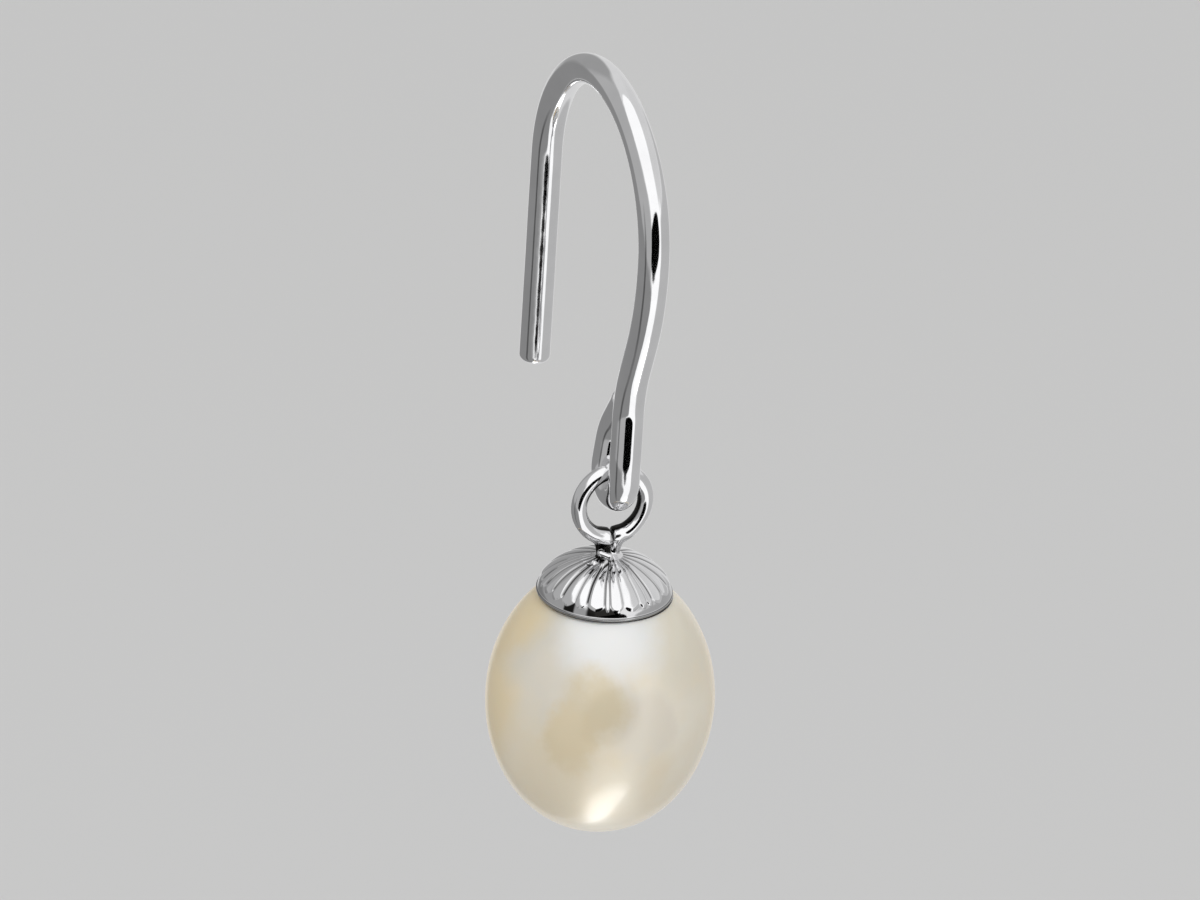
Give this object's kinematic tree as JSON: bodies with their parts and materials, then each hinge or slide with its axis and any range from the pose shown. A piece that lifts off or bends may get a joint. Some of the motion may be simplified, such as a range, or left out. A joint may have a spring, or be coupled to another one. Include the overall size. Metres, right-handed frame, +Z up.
{
  "type": "pearl drop earring",
  "caption": "Hook earring for a pierced ear: a bent wire whose lower loop carries a ring, a fluted cap and a drop-shaped pearl that swings freely.",
  "frame": {"origin": "on the centreline of the ear wire where it passes through the ear, straight above the axis of the hanging drop", "axes": "+Z is up. +Y goes through the ear from its front to its back, so the earring is seen from -Y. +X is to the right when seen from -Y"},
  "size_m": [0.0074, 0.0112, 0.026],
  "materials": {
    "white_metal": "polished",
    "cap_metal": "polished",
    "nacre": "gloss"
  },
  "bodies": {
    "hook": {"ear_hook": "white_metal"},
    "drop": {"pearl_cap": "cap_metal", "pearl": "nacre"}
  },
  "joints": [
    {"name": "drop_swing", "type": "hinge", "parent": "hook", "child": "drop", "pos_m": [0, 0, -0.01288], "axis": [0, 1, 0], "range_deg": [-130, 130]}
  ]
}
